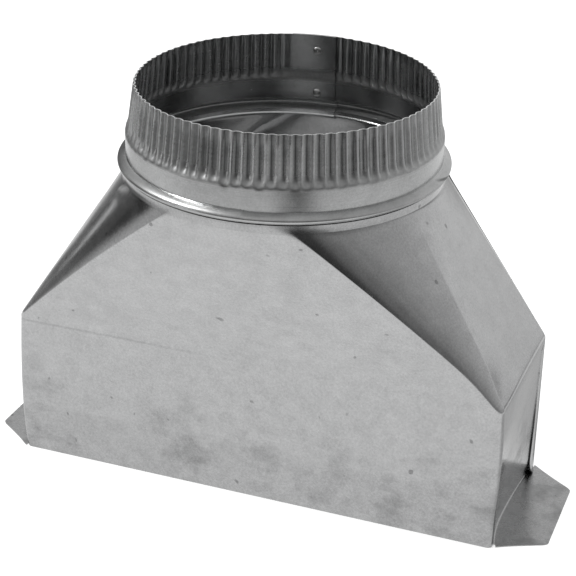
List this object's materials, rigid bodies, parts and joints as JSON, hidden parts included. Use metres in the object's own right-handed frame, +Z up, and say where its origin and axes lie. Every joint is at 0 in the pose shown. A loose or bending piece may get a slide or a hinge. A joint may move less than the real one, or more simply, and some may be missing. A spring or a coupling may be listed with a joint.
{
  "type": "duct transition",
  "caption": "Galvanised sheet-metal duct transition: a rectangular throat with nailing flanges runs up through a tapered body into a round crimped collar with a bead.",
  "frame": {"origin": "centre of the rectangular mouth, on the plane of the undersides of the flanges", "axes": "+Z runs up the collar's axis, +X along the long side of the mouth, +Y across the mouth"},
  "size_m": [0.301, 0.1614, 0.2077],
  "materials": {
    "shell_sheet": "galvanised sheet, dull grey with a fine spangle, smudges and fold marks",
    "collar_sheet": "galvanised strip, slightly brighter along the bead and the crimps",
    "rivet_metal": "plain bright rivets, slightly dulled"
  },
  "bodies": {
    "root": {"front_shell": "shell_sheet", "back_shell": "shell_sheet", "collar": "collar_sheet", "collar_rivets": "rivet_metal"}
  },
  "joints": []
}
